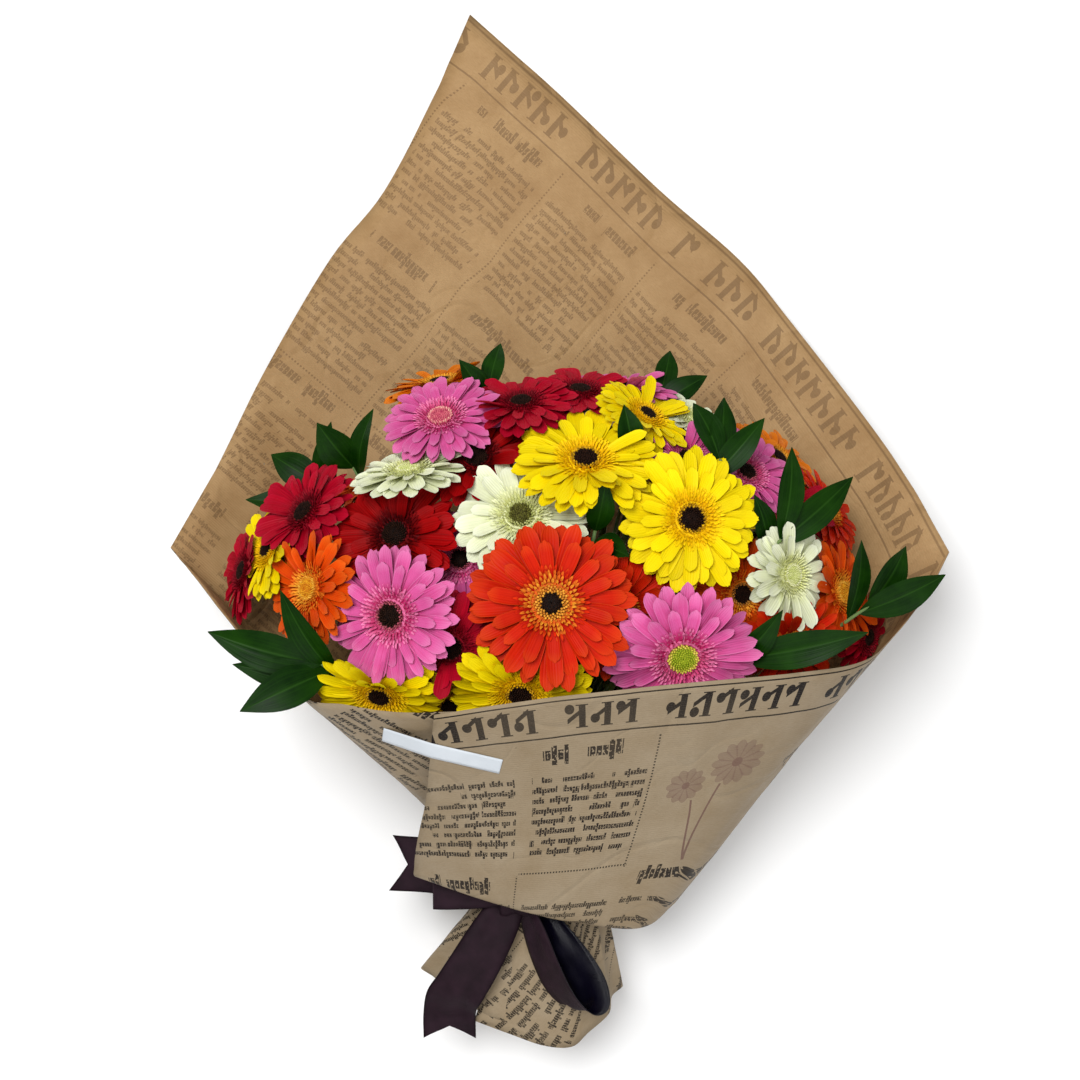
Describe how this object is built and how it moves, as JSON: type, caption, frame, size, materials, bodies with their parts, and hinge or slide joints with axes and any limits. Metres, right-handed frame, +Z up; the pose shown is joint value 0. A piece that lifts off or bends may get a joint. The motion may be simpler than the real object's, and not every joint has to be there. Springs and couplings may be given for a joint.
{
  "type": "gerbera bouquet",
  "caption": "Hand-tied bouquet of mixed gerberas and ruscus leaves in a printed kraft paper cone with a satin bow, lying on its flat back.",
  "frame": {"origin": "on the resting surface, under the middle of the box, with the paper's flat back on z = 0", "axes": "+Y from the stem ends towards the flower heads and the paper's peak, +Z up out of the surface towards the viewer, +X to the viewer's right"},
  "size_m": [0.5197, 0.731, 0.2364],
  "materials": {
    "paper_kraft": "uncoated brown kraft paper with faded dark print",
    "ribbon_satin": "satin, soft sheen",
    "label_white": "smooth white label paper",
    "tie_string": "natural raffia",
    "leaf_green": "waxy dark green leaf",
    "petal_scarlet": "soft velvety petal",
    "petal_orange": "soft velvety petal",
    "petal_amber": "soft velvety petal",
    "petal_yellow": "soft velvety petal",
    "petal_pink": "soft velvety petal",
    "petal_white": "soft velvety petal",
    "petal_crimson": "soft velvety petal",
    "petal_dark_red": "soft velvety petal"
  },
  "bodies": {
    "root": {"paper_wrap": "paper_kraft", "ribbon_bow": "ribbon_satin", "label_sticker": "label_white", "stem_tie": "tie_string", "gerbera_scarlet_centre": "petal_scarlet", "gerbera_scarlet_behind": "petal_scarlet", "gerbera_yellow_top": "petal_yellow", "gerbera_yellow_right": "petal_yellow", "gerbera_white_centre": "petal_white", "gerbera_cream_left": "petal_white", "gerbera_pink_left": "petal_pink", "gerbera_pink_right": "petal_pink", "gerbera_pink_top": "petal_pink", "gerbera_dark_red_left": "petal_dark_red", "gerbera_crimson_left": "petal_crimson", "gerbera_orange_left": "petal_orange", "gerbera_crimson_far_left": "petal_crimson", "gerbera_yellow_far_left": "petal_yellow", "gerbera_yellow_front_left": "petal_yellow", "gerbera_yellow_front_low": "petal_yellow", "gerbera_yellow_front": "petal_yellow", "gerbera_crimson_front": "petal_crimson", "gerbera_dark_red_top": "petal_dark_red", "gerbera_amber_top": "petal_amber", "gerbera_crimson_top_left": "petal_crimson", "gerbera_crimson_top_right": "petal_crimson", "gerbera_pink_top_right": "petal_pink", "gerbera_yellow_side": "petal_yellow", "gerbera_white_small": "petal_white", "gerbera_amber_right": "petal_amber", "gerbera_pink_inner": "petal_pink", "gerbera_pink_upper_right": "petal_pink", "gerbera_crimson_right": "petal_crimson", "gerbera_amber_far_right": "petal_amber", "gerbera_red_right": "petal_scarlet", "gerbera_white_right": "petal_white", "gerbera_orange_right": "petal_orange", "gerbera_coral_far_right": "petal_orange", "gerbera_red_front_right": "petal_scarlet", "gerbera_dark_far_right": "petal_crimson", "gerbera_pink_between": "petal_pink", "gerbera_orange_rear_left": "petal_orange", "gerbera_yellow_rear": "petal_yellow", "gerbera_pink_rear_right": "petal_pink", "ruscus_left": "leaf_green", "ruscus_upper_left": "leaf_green", "ruscus_left_rear": "leaf_green", "ruscus_top": "leaf_green", "ruscus_top_right": "leaf_green", "ruscus_middle": "leaf_green", "ruscus_upper_middle": "leaf_green", "ruscus_upper_right": "leaf_green", "ruscus_right": "leaf_green", "ruscus_far_right": "leaf_green", "ruscus_front_right": "leaf_green"}
  },
  "joints": []
}
